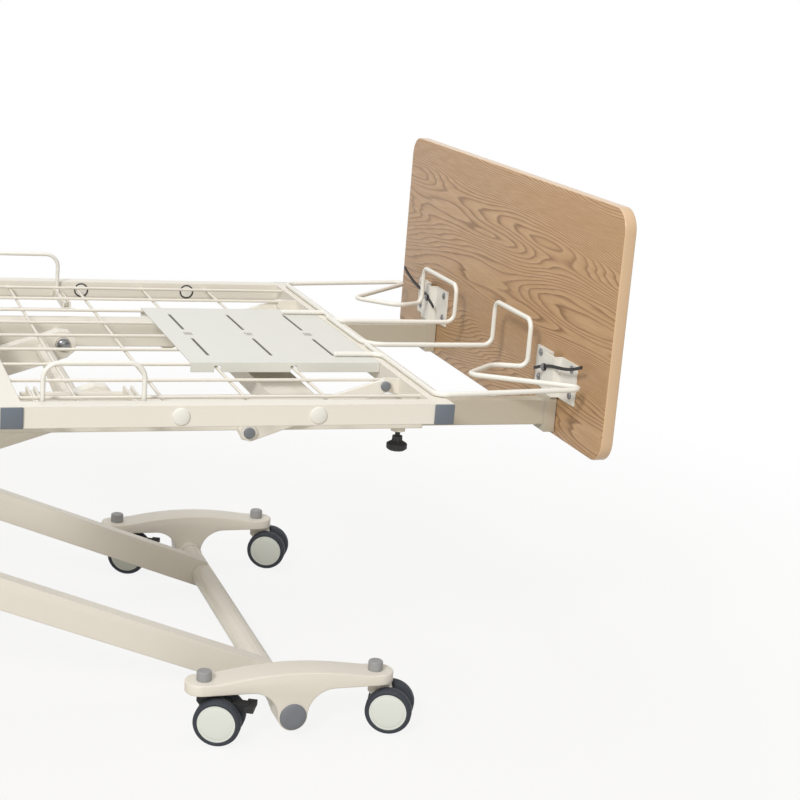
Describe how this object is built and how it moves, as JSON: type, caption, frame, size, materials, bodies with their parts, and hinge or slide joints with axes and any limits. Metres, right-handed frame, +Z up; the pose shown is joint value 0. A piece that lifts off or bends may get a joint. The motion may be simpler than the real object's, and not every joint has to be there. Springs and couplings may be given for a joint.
{
  "type": "low hospital bed",
  "caption": "Low hospital bed with a hinged wire-spring deck, crossed lift arms on castor bows, sliding foot extension and wood-grain end boards",
  "frame": {"origin": "middle of the bounding box, on the floor under the castors", "axes": "+X along the bed towards the foot board, +Y across it away from the camera side, +Z up"},
  "size_m": [2.351, 0.9344, 0.832],
  "materials": {
    "cream_coat": "cream powder coat, satin",
    "white_coat": "off-white powder coat, satin",
    "board_wood": "light ash-grain laminate, satin",
    "tyre_grey": "dark grey tread with pale disc",
    "castor_grey": "grey moulded plastic",
    "black_plastic": "black moulded plastic",
    "actuator_grey": "grey housing",
    "rod_steel": "ground steel"
  },
  "bodies": {
    "frame": {"main_frame": "cream_coat", "seat_section": "cream_coat", "back_actuator_body": "actuator_grey", "knee_actuator_body": "actuator_grey", "foot_lift_actuator_body": "actuator_grey", "head_lift_actuator_body": "actuator_grey", "control_box": "black_plastic"},
    "back": {"back_section": "cream_coat"},
    "thigh": {"thigh_section": "cream_coat"},
    "foot": {"foot_section": "cream_coat", "foot_pan": "white_coat"},
    "foot_retainer": {"foot_mattress_retainer": "white_coat"},
    "foot_extension": {"foot_extension_rail_near": "cream_coat", "foot_extension_rail_far": "cream_coat"},
    "foot_board": {"foot_board": "board_wood", "foot_bracket_near": "white_coat", "foot_bracket_far": "white_coat"},
    "head_board": {"head_board": "board_wood", "head_bracket_near": "white_coat", "head_bracket_far": "white_coat"},
    "foot_lift": {"foot_lift_arms": "cream_coat"},
    "head_lift": {"head_lift_arms": "cream_coat"},
    "calf_link_near": {"calf_link_near": "cream_coat"},
    "calf_link_far": {"calf_link_far": "cream_coat"},
    "side_retainer_near": {"side_retainer_near": "white_coat"},
    "lock_knob_near": {"lock_knob_near": "black_plastic"},
    "side_retainer_far": {"side_retainer_far": "white_coat"},
    "lock_knob_far": {"lock_knob_far": "black_plastic"},
    "latch_lever_near": {"latch_lever_near": "black_plastic"},
    "latch_lever_far": {"latch_lever_far": "black_plastic"},
    "castor_bow_foot_near": {"castor_bow_foot_near": "cream_coat"},
    "castor_fork_foot_near_inner": {"castor_fork_foot_near_inner": "castor_grey"},
    "castor_wheels_foot_near_inner": {"castor_wheels_foot_near_inner": "tyre_grey"},
    "brake_pedal_foot_near": {"brake_pedal_foot_near": "black_plastic"},
    "castor_fork_foot_near_outer": {"castor_fork_foot_near_outer": "castor_grey"},
    "castor_wheels_foot_near_outer": {"castor_wheels_foot_near_outer": "tyre_grey"},
    "castor_bow_foot_far": {"castor_bow_foot_far": "cream_coat"},
    "castor_fork_foot_far_inner": {"castor_fork_foot_far_inner": "castor_grey"},
    "castor_wheels_foot_far_inner": {"castor_wheels_foot_far_inner": "tyre_grey"},
    "brake_pedal_foot_far": {"brake_pedal_foot_far": "black_plastic"},
    "castor_fork_foot_far_outer": {"castor_fork_foot_far_outer": "castor_grey"},
    "castor_wheels_foot_far_outer": {"castor_wheels_foot_far_outer": "tyre_grey"},
    "castor_bow_head_near": {"castor_bow_head_near": "cream_coat"},
    "castor_fork_head_near_inner": {"castor_fork_head_near_inner": "castor_grey"},
    "castor_wheels_head_near_inner": {"castor_wheels_head_near_inner": "tyre_grey"},
    "brake_pedal_head_near": {"brake_pedal_head_near": "black_plastic"},
    "castor_fork_head_near_outer": {"castor_fork_head_near_outer": "castor_grey"},
    "castor_wheels_head_near_outer": {"castor_wheels_head_near_outer": "tyre_grey"},
    "castor_bow_head_far": {"castor_bow_head_far": "cream_coat"},
    "castor_fork_head_far_inner": {"castor_fork_head_far_inner": "castor_grey"},
    "castor_wheels_head_far_inner": {"castor_wheels_head_far_inner": "tyre_grey"},
    "brake_pedal_head_far": {"brake_pedal_head_far": "black_plastic"},
    "castor_fork_head_far_outer": {"castor_fork_head_far_outer": "castor_grey"},
    "castor_wheels_head_far_outer": {"castor_wheels_head_far_outer": "tyre_grey"},
    "back_actuator_rod": {"back_actuator_rod": "rod_steel"},
    "knee_actuator_rod": {"knee_actuator_rod": "rod_steel"},
    "foot_lift_actuator_rod": {"foot_lift_actuator_rod": "rod_steel"},
    "head_lift_actuator_rod": {"head_lift_actuator_rod": "rod_steel"}
  },
  "joints": [
    {"name": "back_raise", "type": "hinge", "parent": "frame", "child": "back", "pos_m": [-0.3315, 0, 0.525], "axis": [0, 1, 0], "range_deg": [0, 60]},
    {"name": "thigh_raise", "type": "hinge", "parent": "frame", "child": "thigh", "pos_m": [-0.0815, 0, 0.525], "axis": [0, -1, 0], "range_deg": [0, 30]},
    {"name": "foot_bend", "type": "hinge", "parent": "thigh", "child": "foot", "pos_m": [0.2625, 0, 0.525], "axis": [0, 1, 0], "range_deg": [0, 39]},
    {"name": "calf_link_swing_near", "type": "hinge", "parent": "frame", "child": "calf_link_near", "pos_m": [0.6535, -0.303, 0.4585], "axis": [0, -1, 0], "range_deg": [0, 24.3]},
    {"name": "calf_link_swing_far", "type": "hinge", "parent": "frame", "child": "calf_link_far", "pos_m": [0.6535, 0.303, 0.4585], "axis": [0, -1, 0], "range_deg": [0, 24.3]},
    {"name": "foot_extend", "type": "slide", "parent": "frame", "child": "foot_extension", "axis": [1, 0, 0], "range_m": [-0.2032, 0]},
    {"name": "foot_retainer_slide", "type": "slide", "parent": "foot", "child": "foot_retainer", "axis": [1, 0, 0], "range_m": [-0.2032, 0]},
    {"name": "side_retainer_adjust_near", "type": "slide", "parent": "foot", "child": "side_retainer_near", "axis": [0, 1, 0], "range_m": [0, 0.02]},
    {"name": "lock_knob_turn_near", "type": "hinge", "parent": "frame", "child": "lock_knob_near", "pos_m": [0.9005, -0.276, 0.44], "axis": [0, 0, 1], "continuous": true},
    {"name": "side_retainer_adjust_far", "type": "slide", "parent": "foot", "child": "side_retainer_far", "axis": [0, -1, 0], "range_m": [0, 0.02]},
    {"name": "lock_knob_turn_far", "type": "hinge", "parent": "frame", "child": "lock_knob_far", "pos_m": [0.9005, 0.276, 0.44], "axis": [0, 0, 1], "continuous": true},
    {"name": "foot_board_lift", "type": "slide", "parent": "foot_extension", "child": "foot_board", "axis": [0, 0, 1], "range_m": [0, 0.09]},
    {"name": "head_board_lift", "type": "slide", "parent": "frame", "child": "head_board", "axis": [0, 0, 1], "range_m": [0, 0.09]},
    {"name": "latch_turn_near", "type": "hinge", "parent": "foot_board", "child": "latch_lever_near", "pos_m": [1.1465, -0.274, 0.551], "axis": [-1, 0, 0], "range_deg": [0, 30]},
    {"name": "latch_turn_far", "type": "hinge", "parent": "foot_board", "child": "latch_lever_far", "pos_m": [1.1465, 0.274, 0.551], "axis": [1, 0, 0], "range_deg": [0, 30]},
    {"name": "foot_lift", "type": "hinge", "parent": "frame", "child": "foot_lift", "pos_m": [-0.4315, 0, 0.48], "axis": [0, 1, 0], "range_deg": [-13.5, 8.2]},
    {"name": "head_lift", "type": "hinge", "parent": "frame", "child": "head_lift", "pos_m": [0.4485, 0, 0.48], "axis": [0, -1, 0], "range_deg": [-11.5, 6.9]},
    {"name": "bow_level_foot_near", "type": "hinge", "parent": "foot_lift", "child": "castor_bow_foot_near", "pos_m": [0.7255, -0.372, 0.035], "axis": [0, 1, 0], "range_deg": [-8.3, 13.6]},
    {"name": "castor_swivel_foot_near_inner", "type": "hinge", "parent": "castor_bow_foot_near", "child": "castor_fork_foot_near_inner", "pos_m": [0.5905, -0.372, 0.08], "axis": [0, 0, 1], "continuous": true},
    {"name": "castor_roll_foot_near_inner", "type": "hinge", "parent": "castor_fork_foot_near_inner", "child": "castor_wheels_foot_near_inner", "pos_m": [0.61497, -0.38341, 0.03629], "axis": [0.4226, 0.9063, 0], "continuous": true},
    {"name": "brake_press_foot_near", "type": "hinge", "parent": "castor_fork_foot_near_inner", "child": "brake_pedal_foot_near", "pos_m": [0.62494, -0.38806, 0.06], "axis": [0.4226, 0.9063, 0], "range_deg": [0, 12]},
    {"name": "castor_swivel_foot_near_outer", "type": "hinge", "parent": "castor_bow_foot_near", "child": "castor_fork_foot_near_outer", "pos_m": [0.8605, -0.372, 0.08], "axis": [0, 0, 1], "continuous": true},
    {"name": "castor_roll_foot_near_outer", "type": "hinge", "parent": "castor_fork_foot_near_outer", "child": "castor_wheels_foot_near_outer", "pos_m": [0.88497, -0.38341, 0.03629], "axis": [0.4226, 0.9063, 0], "continuous": true},
    {"name": "bow_level_foot_far", "type": "hinge", "parent": "foot_lift", "child": "castor_bow_foot_far", "pos_m": [0.7255, 0.372, 0.035], "axis": [0, 1, 0], "range_deg": [-8.3, 13.6]},
    {"name": "castor_swivel_foot_far_inner", "type": "hinge", "parent": "castor_bow_foot_far", "child": "castor_fork_foot_far_inner", "pos_m": [0.5905, 0.372, 0.08], "axis": [0, 0, 1], "continuous": true},
    {"name": "castor_roll_foot_far_inner", "type": "hinge", "parent": "castor_fork_foot_far_inner", "child": "castor_wheels_foot_far_inner", "pos_m": [0.61497, 0.36059, 0.03629], "axis": [0.4226, 0.9063, 0], "continuous": true},
    {"name": "brake_press_foot_far", "type": "hinge", "parent": "castor_fork_foot_far_inner", "child": "brake_pedal_foot_far", "pos_m": [0.62494, 0.35594, 0.06], "axis": [0.4226, 0.9063, 0], "range_deg": [0, 12]},
    {"name": "castor_swivel_foot_far_outer", "type": "hinge", "parent": "castor_bow_foot_far", "child": "castor_fork_foot_far_outer", "pos_m": [0.8605, 0.372, 0.08], "axis": [0, 0, 1], "continuous": true},
    {"name": "castor_roll_foot_far_outer", "type": "hinge", "parent": "castor_fork_foot_far_outer", "child": "castor_wheels_foot_far_outer", "pos_m": [0.88497, 0.36059, 0.03629], "axis": [0.4226, 0.9063, 0], "continuous": true},
    {"name": "bow_level_head_near", "type": "hinge", "parent": "head_lift", "child": "castor_bow_head_near", "pos_m": [-0.9205, -0.372, 0.035], "axis": [0, -1, 0], "range_deg": [-7, 11.6]},
    {"name": "castor_swivel_head_near_inner", "type": "hinge", "parent": "castor_bow_head_near", "child": "castor_fork_head_near_inner", "pos_m": [-0.7855, -0.372, 0.08], "axis": [0, 0, 1], "continuous": true},
    {"name": "castor_roll_head_near_inner", "type": "hinge", "parent": "castor_fork_head_near_inner", "child": "castor_wheels_head_near_inner", "pos_m": [-0.76103, -0.38341, 0.03629], "axis": [0.4226, 0.9063, 0], "continuous": true},
    {"name": "brake_press_head_near", "type": "hinge", "parent": "castor_fork_head_near_inner", "child": "brake_pedal_head_near", "pos_m": [-0.75106, -0.38806, 0.06], "axis": [0.4226, 0.9063, 0], "range_deg": [0, 12]},
    {"name": "castor_swivel_head_near_outer", "type": "hinge", "parent": "castor_bow_head_near", "child": "castor_fork_head_near_outer", "pos_m": [-1.0555, -0.372, 0.08], "axis": [0, 0, 1], "continuous": true},
    {"name": "castor_roll_head_near_outer", "type": "hinge", "parent": "castor_fork_head_near_outer", "child": "castor_wheels_head_near_outer", "pos_m": [-1.03103, -0.38341, 0.03629], "axis": [0.4226, 0.9063, 0], "continuous": true},
    {"name": "bow_level_head_far", "type": "hinge", "parent": "head_lift", "child": "castor_bow_head_far", "pos_m": [-0.9205, 0.372, 0.035], "axis": [0, -1, 0], "range_deg": [-7, 11.6]},
    {"name": "castor_swivel_head_far_inner", "type": "hinge", "parent": "castor_bow_head_far", "child": "castor_fork_head_far_inner", "pos_m": [-0.7855, 0.372, 0.08], "axis": [0, 0, 1], "continuous": true},
    {"name": "castor_roll_head_far_inner", "type": "hinge", "parent": "castor_fork_head_far_inner", "child": "castor_wheels_head_far_inner", "pos_m": [-0.76103, 0.36059, 0.03629], "axis": [0.4226, 0.9063, 0], "continuous": true},
    {"name": "brake_press_head_far", "type": "hinge", "parent": "castor_fork_head_far_inner", "child": "brake_pedal_head_far", "pos_m": [-0.75106, 0.35594, 0.06], "axis": [0.4226, 0.9063, 0], "range_deg": [0, 12]},
    {"name": "castor_swivel_head_far_outer", "type": "hinge", "parent": "castor_bow_head_far", "child": "castor_fork_head_far_outer", "pos_m": [-1.0555, 0.372, 0.08], "axis": [0, 0, 1], "continuous": true},
    {"name": "castor_roll_head_far_outer", "type": "hinge", "parent": "castor_fork_head_far_outer", "child": "castor_wheels_head_far_outer", "pos_m": [-1.03103, 0.36059, 0.03629], "axis": [0.4226, 0.9063, 0], "continuous": true},
    {"name": "back_actuator_stroke", "type": "slide", "parent": "frame", "child": "back_actuator_rod", "axis": [-1, 0, 0], "range_m": [0, 0.111]},
    {"name": "knee_actuator_stroke", "type": "slide", "parent": "frame", "child": "knee_actuator_rod", "axis": [1, 0, 0], "range_m": [0, 0.058]},
    {"name": "foot_lift_actuator_stroke", "type": "slide", "parent": "frame", "child": "foot_lift_actuator_rod", "axis": [1, 0, 0], "range_m": [-0.0137, 0.0223]},
    {"name": "head_lift_actuator_stroke", "type": "slide", "parent": "frame", "child": "head_lift_actuator_rod", "axis": [-1, 0, 0], "range_m": [-0.0116, 0.0191]}
  ],
  "couplings": [
    {"joint": "foot_bend", "follows": "thigh_raise", "ratio": 1.295},
    {"joint": "calf_link_swing_near", "follows": "thigh_raise", "ratio": 0.8},
    {"joint": "calf_link_swing_far", "follows": "thigh_raise", "ratio": 0.8},
    {"joint": "foot_retainer_slide", "follows": "foot_extend", "ratio": 1},
    {"joint": "bow_level_foot_near", "follows": "foot_lift", "ratio": -1},
    {"joint": "bow_level_foot_far", "follows": "foot_lift", "ratio": -1},
    {"joint": "bow_level_head_near", "follows": "head_lift", "ratio": -1},
    {"joint": "bow_level_head_far", "follows": "head_lift", "ratio": -1},
    {"joint": "back_actuator_stroke", "follows": "back_raise", "m_per_rad": 0.10504},
    {"joint": "knee_actuator_stroke", "follows": "thigh_raise", "m_per_rad": 0.10886},
    {"joint": "foot_lift_actuator_stroke", "follows": "foot_lift", "m_per_rad": -0.0933},
    {"joint": "head_lift_actuator_stroke", "follows": "head_lift", "m_per_rad": -0.0935}
  ]
}
